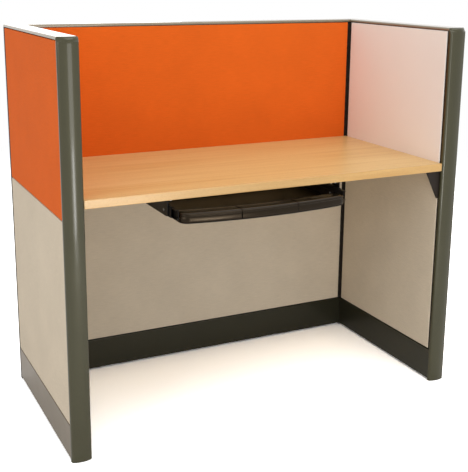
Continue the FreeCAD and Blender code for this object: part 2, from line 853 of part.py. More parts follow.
def make_brackets():
    screw_places = []
    for panel in ("left", "right"):
        for place, reveal, turn in zip(("front", "rear"), reveals(panel), (1, -1)):
            gusset = (panel, place) != ("left", "front")
            bracket, places = worktop_bracket(panel, reveal, turn, gusset)
            parts[panel + "_" + place + "_bracket"] = [bracket]
            screw_places += places
    return screw_places


# Build every piece
for panel in panels:
    make_frame(panel)
    make_tiles(panel)
    parts[panel + "_outer_base_cover"] = [base_cover(panel, False)]
    parts[panel + "_inner_base_cover"] = [base_cover(panel, True)]
    make_top_cap(panel)

for panel in ("left", "right"):
    make_end_trim(panel)
parts["end_trim_caps"] = [end_trim_cap(panel) for panel in ("left", "right")]
parts["corner_caps"] = [make_corner(panel) for panel in ("left", "right")]
make_frame_bolts()
make_feet()
bracket_screws = make_brackets()
hanger_screws, tray_holes = make_slides()
make_tray(tray_holes)
make_palm_pads()
make_worktop(bracket_screws + hanger_screws)

# Write one file for each piece or group of like pieces
os.makedirs("parts", exist_ok=True)
for name, solids in sorted(parts.items()):
    shape = solids[0] if len(solids) == 1 else Part.makeCompound(solids)
    for solid in solids:
        if not solid.isValid() or len(solid.Solids) != 1:
            print("CHECK", name, solid.isValid(), len(solid.Solids))
    shape.exportStep("parts/" + name + ".step")
    box = shape.BoundBox
    print("%-26s %3d solids  x %8.1f %8.1f  y %8.1f %8.1f  z %7.1f %7.1f" % (
        name, len(shape.Solids), box.XMin, box.XMax, box.YMin, box.YMax, box.ZMin, box.ZMax))
print(len(parts), "nodes")
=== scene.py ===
import bpy
import bmesh
import json
import math
from mathutils import Matrix, Vector


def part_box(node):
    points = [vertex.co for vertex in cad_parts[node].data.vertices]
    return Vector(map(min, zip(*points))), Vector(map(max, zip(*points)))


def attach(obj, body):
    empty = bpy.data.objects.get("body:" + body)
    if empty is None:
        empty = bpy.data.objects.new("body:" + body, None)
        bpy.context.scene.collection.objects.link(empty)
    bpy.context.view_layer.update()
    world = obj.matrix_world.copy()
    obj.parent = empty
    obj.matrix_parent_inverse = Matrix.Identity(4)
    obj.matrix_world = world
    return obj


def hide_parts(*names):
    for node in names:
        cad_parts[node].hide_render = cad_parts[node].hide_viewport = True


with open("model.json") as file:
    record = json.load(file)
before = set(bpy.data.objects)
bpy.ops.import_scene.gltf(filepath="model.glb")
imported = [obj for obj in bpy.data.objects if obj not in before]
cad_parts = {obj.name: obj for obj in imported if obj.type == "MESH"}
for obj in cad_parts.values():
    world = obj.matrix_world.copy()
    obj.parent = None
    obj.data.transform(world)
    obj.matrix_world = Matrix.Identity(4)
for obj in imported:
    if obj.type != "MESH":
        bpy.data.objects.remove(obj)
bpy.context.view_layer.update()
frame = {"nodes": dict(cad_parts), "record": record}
nodes = frame["nodes"]
print("stage 1: packed workstation loaded,", len(nodes), "nodes")


# sRGB hex to the linear colour that the shaders work in
def toLinear(hexColour):
    channels = [int(hexColour[i:i + 2], 16) / 255 for i in (1, 3, 5)]
    linear = [c / 12.92 if c <= 0.04045 else ((c + 0.055) / 1.055) ** 2.4 for c in channels]
    return (*linear, 1.0)


# the emptied node tree of a material or world
def clearTree(holder):
    holder.use_nodes = True
    holder.node_tree.nodes.clear()
    return holder.node_tree


# adds one node; a setting is one of its own properties, the value of a socket, a link into a socket
# or the stops of its ramp
def addNode(tree, kind, settings):
    node = tree.nodes.new(kind)
    for key, value in settings.items():
        if isinstance(value, bpy.types.NodeSocket):
            tree.links.new(value, node.inputs[key])
        elif key == "stops":
            first, last = node.color_ramp.elements[0], node.color_ramp.elements[1]
            first.position, first.color = value[0]
            last.position, last.color = value[-1]
            for position, colour in value[1:-1]:
                node.color_ramp.elements.new(position).color = colour
        elif isinstance(key, str) and hasattr(node, key):
            setattr(node, key, value)
        else:
            node.inputs[key].default_value = value
    return node


# Short forms of the commonest nodes. Each takes sockets or plain values and gives its result's socket.
def compute(tree, operation, *values):
    return addNode(tree, "ShaderNodeMath", {"operation": operation, **dict(enumerate(values))}).outputs[0]


def scaleAxes(tree, place, factors):
    return addNode(tree, "ShaderNodeVectorMath", {"operation": "MULTIPLY", 0: place, 1: factors}).outputs[0]


def mapRange(tree, value, target, source=(0.0, 1.0), curve="LINEAR"):
    return addNode(tree, "ShaderNodeMapRange", {
        "interpolation_type": curve, 0: value, "From Min": source[0], "From Max": source[1],
        "To Min": target[0], "To Max": target[1]}).outputs[0]


def mixNumbers(tree, share, first, second):
    return addNode(tree, "ShaderNodeMix", {"data_type": "FLOAT", 0: share, 2: first, 3: second}).outputs[0]


def mixColours(tree, share, first, second, blend="MIX"):
    return addNode(tree, "ShaderNodeMix", {
        "data_type": "RGBA", "blend_type": blend, 0: share, 6: first, 7: second}).outputs[2]


def noise(tree, place, scale, detail, roughness=0.5, distortion=0.0):
    return addNode(tree, "ShaderNodeTexNoise", {
        "Vector": place, "Scale": scale, "Detail": detail,
        "Roughness": roughness, "Distortion": distortion}).outputs["Fac"]


# Camera
camera = {
    "place": (-1.2696, -2.5453, 1.3568),   # metres, in the part's frame
    "yaw": 26.2,                           # degrees from straight ahead towards +X
    "pitch": -13.6,
    "roll": 0.5,
    "sensor": 36, "lens": 68.53,           # mm
    "opticalRow": 192,                     # pixel row of the optical centre in the photo's frame
    "frame": (468, 472),
    "clipEnd": 200,
}


def makeCamera():
    data = bpy.data.cameras.new("camera")
    data.sensor_width = camera["sensor"]
    data.lens = camera["lens"]
    wide, high = camera["frame"]
    data.shift_y = (camera["opticalRow"] - high / 2) / max(wide, high)
    data.clip_end = camera["clipEnd"]
    obj = bpy.data.objects.new("camera", data)
    bpy.context.scene.collection.objects.link(obj)
    turn = (Matrix.Rotation(-math.radians(camera["yaw"]), 4, "Z")
            @ Matrix.Rotation(math.radians(90 + camera["pitch"]), 4, "X")
            @ Matrix.Rotation(math.radians(camera["roll"]), 4, "Z"))
    obj.matrix_world = Matrix.Translation(camera["place"]) @ turn
    bpy.context.scene.camera = obj


makeCamera()
print("stage 2: camera set")


# Materials
# The looks below hold sRGB colours, sizes in metres and the shader's own values under these names.
# "edge" is the radius to which edges look rounded, "relief" the bump's strength and "reliefDepth"
# its height.
shaderInputs = {
    "metallic": "Metallic", "roughness": "Roughness", "ior": "IOR", "specular": "Specular IOR Level",
    "tint": "Specular Tint", "coat": "Coat Weight", "coatRoughness": "Coat Roughness",
    "sheen": "Sheen Weight", "sheenRoughness": "Sheen Roughness",
}
bevelSamples = 4


# new material with one Principled shader set from its look, and the object's own coordinates
def startMaterial(name, look):
    material = bpy.data.materials.new(name)
    tree = clearTree(material)
    shader = addNode(tree, "ShaderNodeBsdfPrincipled", {
        socket: toLinear(look[key]) if key == "tint" else look[key]
        for key, socket in shaderInputs.items() if key in look})
    addNode(tree, "ShaderNodeOutputMaterial", {"Surface": shader.outputs["BSDF"]})
    place = addNode(tree, "ShaderNodeTexCoord", {}).outputs["Object"]
    return material, tree, shader, place


# roughness that drifts to either side of the look's own with the cloudiness
def cloudyRoughness(tree, cloud, look):
    below, above = look["roughnessSpread"]
    return mapRange(tree, cloud, (look["roughness"] + below, look["roughness"] + above))


# links in the colour, the relief on rounded edges and, where it varies, the roughness
def finishSurface(tree, shader, look, colour, height, rough=None):
    edge = addNode(tree, "ShaderNodeBevel", {"samples": bevelSamples, "Radius": look["edge"]})
    bump = addNode(tree, "ShaderNodeBump", {
        "Strength": look["relief"], "Distance": look["reliefDepth"],
        "Height": height, "Normal": edge.outputs["Normal"]})
    tree.links.new(colour, shader.inputs["Base Color"])
    tree.links.new(bump.outputs["Normal"], shader.inputs["Normal"])
    if rough is not None:
        tree.links.new(rough, shader.inputs["Roughness"])


# Panel fabric
# Polyester panel fabric, plain woven from 1 mm yarns and stretched over the tiles' rounded edges.
# Matt, with a slightly uneven colour from the yarns, which are drawn 2.2 mm wide so that they show.
fabric = {
    "orange": ("#e1681f", "#d75c16"),      # the two yarns
    "beige": ("#d8cab5", "#cbbba3"),
    "yarn": 0.0022,                        # width of one drawn yarn
    "crossover": (-0.3, 0.3),              # heights of the weave between which the other yarn comes on top
    "yarnRound": 0.5,                      # power that rounds the yarns' backs
    "mottle": 0.16,                        # size of the soft cloudiness
    "slub": 0.03,                          # length of the thick places in the yarns
    "slubThin": (1.0, 9.0, 1.0),           # how much narrower than long they are
    "uneven": (0.7, 1.3),                  # range of cloudiness and slubs together
    "shade": (0.94, 1.06),                 # brightness over that range
    "roughness": 0.92, "ior": 1.5, "specular": 0.12, "sheen": 0.03, "sheenRoughness": 0.5,
    "edge": 0.0015, "relief": 0.45, "reliefDepth": 0.0005,
}


def wovenPolyester(name, yarns):
    material, tree, shader, place = startMaterial(name, fabric)
    axes = addNode(tree, "ShaderNodeSeparateXYZ", {"Vector": place})
    # each tile is flat in x or in y, so their sum runs along it
    along = compute(tree, "ADD", axes.outputs["X"], axes.outputs["Y"])
    up = axes.outputs["Z"]
    waves = []
    for source in (along, up):
        phase = compute(tree, "MULTIPLY", source, math.pi / fabric["yarn"])
        waves.append(compute(tree, "SINE", phase))
    crossing = compute(tree, "MULTIPLY", *waves)
    warpOnTop = mapRange(tree, crossing, (0.0, 1.0), fabric["crossover"])
    rounded = compute(tree, "POWER", compute(tree, "ABSOLUTE", crossing), fabric["yarnRound"])
    flat = addNode(tree, "ShaderNodeCombineXYZ", {0: along, 1: up}).outputs[0]
    cloud = noise(tree, flat, 1 / fabric["mottle"], detail=4.0)
    slubs = noise(tree, scaleAxes(tree, flat, fabric["slubThin"]), 1 / fabric["slub"], detail=3.0)
    yarnColour = mixColours(tree, warpOnTop, toLinear(yarns[0]), toLinear(yarns[1]))
    shade = mapRange(tree, compute(tree, "ADD", cloud, slubs), fabric["shade"], fabric["uneven"])
    tinted = addNode(tree, "ShaderNodeVectorMath", {"operation": "SCALE", 0: yarnColour, "Scale": shade})
    finishSurface(tree, shader, fabric, tinted.outputs[0], compute(tree, "ADD", rounded, slubs))
    return material


# White laminate
# Melamine laminate pressed against a satin plate: smooth, softly glossy, with a faint pebble.
laminate = {
    "white": "#ece4dc", "shade": "#e3dad1", "pebble": 0.0016, "cloud": 0.25,
    "roughness": 0.36, "roughnessSpread": (-0.04, 0.06), "ior": 1.5, "specular": 0.5,
    "edge": 0.0008, "relief": 0.12, "reliefDepth": 0.0002,
}


def pressedMelamine(name):
    material, tree, shader, place = startMaterial(name, laminate)
    cloud = noise(tree, place, 1 / laminate["cloud"], detail=3.0)
    colour = mixColours(tree, cloud, toLinear(laminate["white"]), toLinear(laminate["shade"]))
    pebble = noise(tree, place, 1 / laminate["pebble"], detail=2.0)
    finishSurface(tree, shader, laminate, colour, pebble, cloudyRoughness(tree, cloud, laminate))
    return material


# Beech worktop
# Beech-pattern laminate with its grain along the worktop, printed and pressed satin. Beech has
# pale straight streaks and short dark flecks 2 to 10 mm long.
beech = {
    "stops": [(0.30, "#cda15d"), (0.47, "#ddb977"), (0.66, "#e7c688")],    # dark to pale wood
    "streak": (2.2, 75.0, 75.0),           # noise cells per metre along and across the grain
    "streakRoughness": 0.6, "streakWander": 0.15,
    "figure": (0.7, 9.0, 9.0),             # the same for the wide waves of the grain
    "figureWander": 0.6, "figureShare": 0.35,
    "fleck": "#b28147",
    "fleckSize": (0.010, 0.0016),          # drawn twice as wide as they are
    "fleckEdge": (0.10, 0.30),             # shares of that size over which a fleck fades out
    "fleckStrength": 0.55,
    "roughness": 0.34, "ior": 1.5, "specular": 0.7,
    "edge": 0.0010, "relief": 0.08, "reliefDepth": 0.0002,
}


def printedBeech(name, tone):
    material, tree, shader, place = startMaterial(name, beech)
    streaks = noise(tree, scaleAxes(tree, place, beech["streak"]), 1.0, detail=6.0,
                    roughness=beech["streakRoughness"], distortion=beech["streakWander"])
    figure = noise(tree, scaleAxes(tree, place, beech["figure"]), 1.0, detail=2.0,
                   distortion=beech["figureWander"])
    wood = addNode(tree, "ShaderNodeValToRGB", {
        "Fac": mixNumbers(tree, beech["figureShare"], streaks, figure),
        "stops": [(level, toLinear(colour)) for level, colour in beech["stops"]]})
    long, thin = beech["fleckSize"]
    cells = addNode(tree, "ShaderNodeTexVoronoi", {
        "Vector": scaleAxes(tree, place, (1 / long, 1 / thin, 1 / thin)), "Scale": 1.0, "Randomness": 1.0})
    fleck = mapRange(tree, cells.outputs["Distance"], (beech["fleckStrength"], 0.0), beech["fleckEdge"])
    flecked = mixColours(tree, fleck, wood.outputs["Color"], toLinear(beech["fleck"]))
    toned = mixColours(tree, 1.0, flecked, toLinear(tone), blend="MULTIPLY")
    # the press plate sinks the flecks a little below the streaks
    finishSurface(tree, shader, beech, toned, compute(tree, "SUBTRACT", streaks, fleck))
    return material


# Painted and bare metal
# "flake" is the grain of the colour and "peel" that of the relief. Edges of pressed and sawn metal
# are never sharp, so light runs along them.
metal = {
    "cloudsPerMetre": 9.0, "cloudShare": 0.5, "roughnessSpread": (-0.05, 0.07),
    "edge": 0.0007, "reliefDepth": 0.0003,
}
enamel = {**metal, "tint": "#fff4dd", "coatRoughness": 0.12, "flake": 0.0008, "peel": 0.0035}
metalFinish = {
    # aluminium extrusion sprayed with a metallic enamel and baked: satin gloss over fine flakes
    "trim": {**enamel, "colour": "#34321f", "fleck": "#43412a", "metallic": 0.25, "roughness": 0.40,
             "specular": 0.25, "coat": 0.65, "relief": 0.10},
    # the caps along the panels' tops: a paler copy of the enamel that paints in the glare seen along them,
    # with more flake and a thicker clear coat
    "cap": {**enamel, "colour": "#7a6f5c", "fleck": "#887c67", "metallic": 0.5, "roughness": 0.32,
            "specular": 0.5, "coat": 1.0, "relief": 0.08},
    # the trims' enamel on the inner base covers, in a darker colour than on the trims
    "cover": {**enamel, "colour": "#25241a", "fleck": "#302f23", "metallic": 0.15, "roughness": 0.40,
              "specular": 0.25, "coat": 0.3, "relief": 0.10},
    # the covers of the outer faces: a lighter copy of the enamel with warm-tinted reflections, painting in
    # the sheen they show when seen along the panel
    "outerCoverSheen": {**enamel, "colour": "#4a3f27", "fleck": "#54482e", "metallic": 0.20, "roughness": 0.34,
                   "specular": 0.5, "tint": "#ffdcb4", "coat": 0.45, "relief": 0.08},
    # steel with a powder coat: matt, with the fine pebble of melted powder
    "frame": {**metal, "colour": "#231d18", "fleck": "#2d251f", "metallic": 0.0, "roughness": 0.55,
              "specular": 0.22, "flake": 0.0016, "peel": 0.0012, "relief": 0.25},
    # cold-rolled slide steel with a black dip coat: thin and even, a little greasy in its shine
    "slide": {**metal, "colour": "#131110", "fleck": "#1d1a18", "metallic": 0.3, "roughness": 0.38,
              "specular": 0.22, "flake": 0.0010, "peel": 0.006, "relief": 0.06},
    # bright zinc plate on screws, rivets and studs: pale grey, with a cloudy passivated bloom
    "zinc": {**metal, "colour": "#b9bcc0", "fleck": "#a3a7a6", "metallic": 1.0, "roughness": 0.34,
             "specular": 0.5, "flake": 0.0030, "peel": 0.0009, "relief": 0.10},
}


def finishedMetal(name, look):
    material, tree, shader, place = startMaterial(name, look)
    flakes = addNode(tree, "ShaderNodeTexVoronoi", {"Vector": place, "Scale": 1 / look["flake"]})
    brightness = addNode(tree, "ShaderNodeSeparateColor", {"Color": flakes.outputs["Color"]}).outputs[0]
    cloud = noise(tree, place, look["cloudsPerMetre"], detail=3.0)
    amount = mixNumbers(tree, look["cloudShare"], brightness, cloud)
    colour = mixColours(tree, amount, toLinear(look["colour"]), toLinear(look["fleck"]))
    peel = noise(tree, place, 1 / look["peel"], detail=2.0)
    finishSurface(tree, shader, look, colour, peel, cloudyRoughness(tree, cloud, look))
    return material


# Plastics
plastic = {
    "cloudsPerMetre": 14.0, "roughnessSpread": (-0.05, 0.08), "edge": 0.0006, "reliefDepth": 0.0002,
}
plasticFinish = {
    # ABS tray, injection moulded in a spark-eroded tool: dark brown, satin with an even fine grain
    "tray": {**plastic, "colour": "#181310", "worn": "#221c17", "roughness": 0.34, "ior": 1.54,
             "specular": 0.22, "tint": "#fff0dc", "grain": 0.0009, "relief": 0.20},
    # elastomer pads, moulded with a fine leather grain and polished by the palms; their reflections are
    # tinted warm, a painted reflection of the warm surroundings
    "pad": {**plastic, "colour": "#0b0805", "worn": "#130e09", "roughness": 0.20, "ior": 1.5,
            "specular": 0.30, "tint": "#ffe0ba", "grain": 0.0016, "relief": 0.22},
    # polypropylene feet and sockets: waxy black, slightly streaked by the flow in the mould
    "foot": {**plastic, "colour": "#191918", "worn": "#252422", "roughness": 0.5, "ior": 1.49,
             "specular": 0.4, "grain": 0.0012, "relief": 0.15},
}


def mouldedPlastic(name, look):
    material, tree, shader, place = startMaterial(name, look)
    cloud = noise(tree, place, look["cloudsPerMetre"], detail=4.0)
    colour = mixColours(tree, cloud, toLinear(look["colour"]), toLinear(look["worn"]))
    grain = addNode(tree, "ShaderNodeTexVoronoi", {
        "feature": "SMOOTH_F1", "Vector": place, "Scale": 1 / look["grain"]}).outputs["Distance"]
    finishSurface(tree, shader, look, colour, grain, cloudyRoughness(tree, cloud, look))
    return material


materials = {
    "tile_orange": wovenPolyester("woven_polyester_orange", fabric["orange"]),
    "tile_beige": wovenPolyester("woven_polyester_beige", fabric["beige"]),
    "tile_white": pressedMelamine("pressed_melamine_white"),
    "worktop_beech": printedBeech("printed_beech_laminate", "#ffffff"),
    "edge_beech": printedBeech("printed_beech_edge_band", "#f1e4d8"),
    "trim_paint": finishedMetal("baked_metallic_enamel", metalFinish["trim"]),
    "cap_paint": finishedMetal("baked_enamel_top_cap_painted_glare", metalFinish["cap"]),
    "cover_paint": finishedMetal("baked_enamel_base_cover", metalFinish["cover"]),
    "outer_cover_paint": finishedMetal("baked_enamel_outer_cover_painted_sheen", metalFinish["outerCoverSheen"]),
    "frame_steel": finishedMetal("powder_coated_steel", metalFinish["frame"]),
    "slide_steel": finishedMetal("black_dipped_slide_steel", metalFinish["slide"]),
    "zinc_steel": finishedMetal("zinc_plated_steel", metalFinish["zinc"]),
    "tray_plastic": mouldedPlastic("moulded_abs_tray", plasticFinish["tray"]),
    "pad_rubber": mouldedPlastic("moulded_elastomer_pad", plasticFinish["pad"]),
    "foot_plastic": mouldedPlastic("moulded_polypropylene", plasticFinish["foot"]),
}
print("stage 3: materials made,", len(materials))


def dress(obj, material):
    obj.data.materials.clear()
    obj.data.materials.append(material)


finishOf = {subpart["node"]: subpart["material_slot"] for subpart in frame["record"]["subparts"]}
# these nodes show another finish than their slot's
# the top caps and corner caps take the paler enamel that paints in their glare
finishOf.update({"worktop_edge_band": "edge_beech", "corner_caps": "cap_paint"})
# the outer base covers take the lighter enamel with painted sheen, and the top caps the paler enamel with
# painted glare
for side in ("left", "right", "back"):
    finishOf[side + "_outer_base_cover"] = "outer_cover_paint"
    finishOf[side + "_top_cap"] = "cap_paint"
for side in ("left", "right"):
    for ending in ("_corner_post", "_front_bracket", "_rear_bracket"):
        finishOf[side + ending] = "frame_steel"
for nodeName, node in nodes.items():
    dress(node, materials[finishOf[nodeName]])
print("stage 4: packed nodes dressed")


# links a mesh into the scene as one piece with its finish, smooth up to an angle, on its body
def addPiece(name, mesh, slot, body, sharpAngle):
    data = bpy.data.meshes.new(name)
    mesh.normal_update()
    mesh.to_mesh(data)
    mesh.free()
    data.shade_smooth()
    data.set_sharp_from_angle(angle=math.radians(sharpAngle))
    obj = bpy.data.objects.new(name, data)
    bpy.context.scene.collection.objects.link(obj)
    dress(obj, materials[slot])
    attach(obj, body)
    return obj


# The shapes below are worked out in millimetres and built in metres
perMetre = 1000


def addPoint(mesh, x, y, z):
    return mesh.verts.new((x / perMetre, y / perMetre, z / perMetre))


# joins neighbouring loops of points by bands of faces
def joinLoops(mesh, loops):
    size = len(loops[0])
    for left, right in zip(loops, loops[1:]):
        for i in range(size):
            k = (i + 1) % size
            mesh.faces.new((left[i], right[i], right[k], left[k]))


# The bowed plan that the tray and the end trims share, across from its middle and away from its
# front: an arc between two rounded corners and straight sides
def bowPlan(half, bow, corner):
    radius = (half ** 2 + bow ** 2) / (2 * bow)
    cornerAcross = half - corner
    cornerAway = radius - math.sqrt((radius - corner) ** 2 - cornerAcross ** 2)
    return {"half": half, "radius": radius, "corner": corner,
            "cornerAcross": cornerAcross, "cornerAway": cornerAway}


# where the outline runs at a given place across, drawn in by an inset, and which way it faces
def planFront(plan, across, inset):
    tangent = plan["cornerAcross"] * (plan["radius"] - inset) / (plan["radius"] - plan["corner"])
    if abs(across) > tangent:
        past = abs(across) - plan["cornerAcross"]
        away = plan["cornerAway"] - math.sqrt(max(0.0, (plan["corner"] - inset) ** 2 - past ** 2))
        facing = Vector((math.copysign(past, across), away - plan["cornerAway"]))
    else:
        away = plan["radius"] - math.sqrt((plan["radius"] - inset) ** 2 - across ** 2)
        facing = Vector((across, away - plan["radius"]))
    return away, facing.normalized()


# how far inside the arc of the outline a point lies
def arcDepth(plan, across, away):
    return plan["radius"] - math.hypot(across, away - plan["radius"])


# how far inside the outline as a whole a point lies
def planDepth(plan, across, away):
    past, behind = abs(across) - plan["cornerAcross"], away - plan["cornerAway"]
    turn = plan["cornerAcross"] * behind + (plan["radius"] - plan["cornerAway"]) * past
    if behind < 0 and turn > 0:
        return plan["corner"] - math.hypot(past, behind)
    return min(arcDepth(plan, across, away), plan["half"] - abs(across))


# how far an edge of a given softness has turned over at a distance from it, from 1 to 0
def edgeTurn(distance, softness):
    near = min(1.0, max(0.0, 1 - distance / softness))
    return 1 - math.sqrt(1 - near * near)


# stations from 0 to 1, by a share packed towards both ends, where the edges turn over
def spacedEnds(count, share):
    even = [i / (count - 1) for i in range(count)]
    return [(1 - share) * e + share * (0.5 - 0.5 * math.cos(math.pi * e)) for e in even]


# Palm pads
palmPads = {
    "middle": -70.0, "front": -355.0,
    "half": 271.0, "bow": 26.0, "corner": 30.0,
    "inset": 3.3, "depth": 58.0, "floor": 684.3,
    # lower lip and crease of the front face: how far inside the tray's outline, and at which height
    "lip": [(2.6, 684.3), (1.3, 684.9), (0.7, 686.8), (0.4, 690.2), (0.5, 694.4), (1.0, 698.0), (1.9, 700.6),
            (3.0, 701.9), (2.9, 702.6), (1.8, 703.9)],
    # the padded roll above it
    "rollInset": 1.0, "rollLow": 705.6, "rollTop": 711.9, "rollDepth": 12.0, "rollSteps": 6,
    "fall": 2.6,                           # how much lower the pad is at its rear
    "rearSoft": 10.0, "rearDrop": 7.0,
    "seamSoft": 1.8, "seamDrop": 2.4, "seamPull": 1.1,
    "seamFrom": 700.0,                     # height of the front face from which a seam drops it
    "centreHalf": 92.0, "seam": 2.0,
    "rows": 24, "rowPacking": 0.85, "stations": 72, "stationPacking": 0.9,
    "sharpAngle": 50,
}


# one pad between two places across, with a rounded seam at each of the places named
def makePalmPad(name, low, high, seams):
    p = palmPads
    plan = bowPlan(p["half"], p["bow"], p["corner"])
    rise = p["rollTop"] - p["rollLow"]
    reach = p["rollDepth"] - p["rollInset"]
    rearRadius = plan["radius"] - p["inset"] - p["depth"]
    steepest = math.acos((p["rollDepth"] - p["inset"]) / reach)
    profile = list(p["lip"])
    for step in range(p["rollSteps"]):
        angle = steepest * step / p["rollSteps"]
        profile.append((p["rollDepth"] - reach * math.cos(angle), p["rollLow"] + rise * math.sin(angle)))
    mesh = bmesh.new()

    def corner(across, away, height):
        return addPoint(mesh, p["middle"] + across, p["front"] + away, height)

    loops = []
    for share in spacedEnds(p["stations"], p["stationPacking"]):
        across = low + (high - low) * share
        front, facing = planFront(plan, across, p["inset"])
        rear = plan["radius"] - math.sqrt(rearRadius ** 2 - across ** 2)
        seam = max([edgeTurn(abs(across - place), p["seamSoft"]) for place in seams])
        loop = [corner(across, front, p["floor"])]
        for inset, height in profile:
            out = p["inset"] - inset - seam * p["seamPull"]
            drop = seam * p["seamDrop"] * max(0.0, (height - p["seamFrom"]) / (p["rollTop"] - p["seamFrom"]))
            loop.append(corner(across + facing.x * out, front + facing.y * out, height - drop))
        for step in spacedEnds(p["rows"], p["rowPacking"]):
            away = front + (rear - front) * step
            inside = max(p["inset"], planDepth(plan, across, away))
            roll = min(1.0, max(0.0, (p["rollDepth"] - inside) / reach))
            back = max(0.0, arcDepth(plan, across, away) - p["rollDepth"])
            fall = p["fall"] * (back / (p["depth"] - p["rollDepth"])) ** 2
            turned = edgeTurn(rear - away, p["rearSoft"]) * p["rearDrop"]
            height = p["rollLow"] + rise * math.sqrt(1 - roll * roll) - fall - turned - seam * p["seamDrop"]
            loop.append(corner(across, away, height))
        loop.append(corner(across, rear, p["floor"]))
        loops.append(loop)
    joinLoops(mesh, loops)
    joint = len(profile) + 1
    for loop in (loops[0], loops[-1]):
        mesh.faces.new(loop[:joint + 1])
        mesh.faces.new([loop[0]] + loop[joint:])
    bmesh.ops.recalc_face_normals(mesh, faces=mesh.faces)
    pad = addPiece(name, mesh, "pad_rubber", "keyboard_tray_body", p["sharpAngle"])
    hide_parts("palm_pads")


padEnd = palmPads["half"] - palmPads["inset"]
centreEnd = palmPads["centreHalf"] - palmPads["seam"] / 2
sideStart = palmPads["centreHalf"] + palmPads["seam"] / 2
makePalmPad("palm_pad_left", -padEnd, -sideStart, [-sideStart])
makePalmPad("palm_pad_centre", -centreEnd, centreEnd, [-centreEnd, centreEnd])
makePalmPad("palm_pad_right", sideStart, padEnd, [sideStart])
print("stage 5: palm pads made")


# Domed end caps of the trims, cast in the trim's plan and enamelled with it
endCap = {
    "half": 30.0, "bow": 7.0, "corner": 9.0, "depth": 16.0,
    "low": 1182.0, "high": 1200.0, "front": -285.0, "panelMiddle": 630.0,
    "frontSoft": 15.0, "frontShare": 0.96,
    "crownFront": (28.0, 13.0),            # how far the crown falls away in from each side, and how deep
    "crownRear": (5.0, 5.0),               # the same at the rear, where it meets the panel's cap
    "rows": 14, "rowPower": 1.6,           # the rows crowd towards the front
    "stations": 44, "stationPacking": 0.85,
    "sharpAngle": 50,
}


def makeEndCap(side, sign):
    c = endCap
    plan = bowPlan(c["half"], c["bow"], c["corner"])
    mesh = bmesh.new()

    def corner(across, away, height):
        return addPoint(mesh, sign * c["panelMiddle"] + across, c["front"] + away, height)

    loops = []
    for station in spacedEnds(c["stations"], c["stationPacking"]):
        across = c["half"] * (2 * station - 1)
        front = planFront(plan, across, 0.0)[0]
        loop = [corner(across, front, c["low"])]
        for row in range(c["rows"]):
            away = front + (c["depth"] - front) * (row / (c["rows"] - 1)) ** c["rowPower"]
            share = (away - front) / (c["depth"] - front)
            spread, drop = [f + (r - f) * share for f, r in zip(c["crownFront"], c["crownRear"])]
            frontTurn = max(0.0, 1 - arcDepth(plan, across, away) / c["frontSoft"])
            sideTurn = max(0.0, 1 - (c["half"] - abs(across)) / spread)
            near = min(1.0, math.hypot(frontTurn * c["frontShare"], sideTurn))
            loop.append(corner(across, away, c["high"] - drop * (1 - math.sqrt(1 - near * near))))
        loop.append(corner(across, c["depth"], c["low"]))
        loops.append(loop)
    joinLoops(mesh, loops)
    for loop in (loops[0], loops[-1]):
        mesh.faces.new(loop)
    bmesh.ops.recalc_face_normals(mesh, faces=mesh.faces)
    cap = addPiece(side + "_domed_end_cap", mesh, "trim_paint", "frame", c["sharpAngle"])
    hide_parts("end_trim_caps")


makeEndCap("left", -1)
makeEndCap("right", 1)
print("stage 6: end caps made")


# Levelling feet
levellingFoot = {
    # the moulded pad: heights, how far inside its radius, and whether its grip is fluted there
    "padRadius": 12.0,
    "padRings": [(0.0, 1.0, False), (0.5, 0.3, False), (1.0, 0.0, True), (3.4, 0.0, True),
                 (4.2, 0.7, True), (4.6, 1.9, False)],
    "flutes": 24, "fluteDepth": 0.45,
    "hubRadius": 7.0,
    "hubRings": [(5.0, 1.6), (5.4, 0.0), (6.0, -0.5)],    # heights, and how far outside its radius
    "padSteps": 144, "padSharp": 30,
    # the hexagon nut: its corners are turned off at a share of half its width, more at both faces
    "nutAcross": 12.0, "nutLow": 6.2, "nutHigh": 10.2,
    "nutFace": 1.02, "nutCorner": 1.16, "nutChamfer": 0.6, "nutSteps": 72,
    # the threaded stud
    "studRadius": 4.0, "studLow": 5.0, "studTop": 62.0, "studTip": 3.1,
    "pitch": 1.25, "threadDepth": 0.65, "ringsPerTurn": 4, "studSteps": 24, "studSharp": 50,
}


# a ring of points for each (height, radius function) pair, joined and closed at both ends
def turnedShape(mesh, centre, rings, steps):
    built = []
    for height, radiusAt in rings:
        ring = []
        for i in range(steps):
            angle = 2 * math.pi * i / steps
            radius = radiusAt(angle, height)
            ring.append(addPoint(mesh, centre[0] + radius * math.cos(angle),
                                 centre[1] + radius * math.sin(angle), centre[2] + height))
        built.append(ring)
    for below, above in zip(built, built[1:]):
        for i in range(steps):
            k = (i + 1) % steps
            mesh.faces.new((below[i], below[k], above[k], above[i]))
    mesh.faces.new(built[0][::-1])
    mesh.faces.new(built[-1])


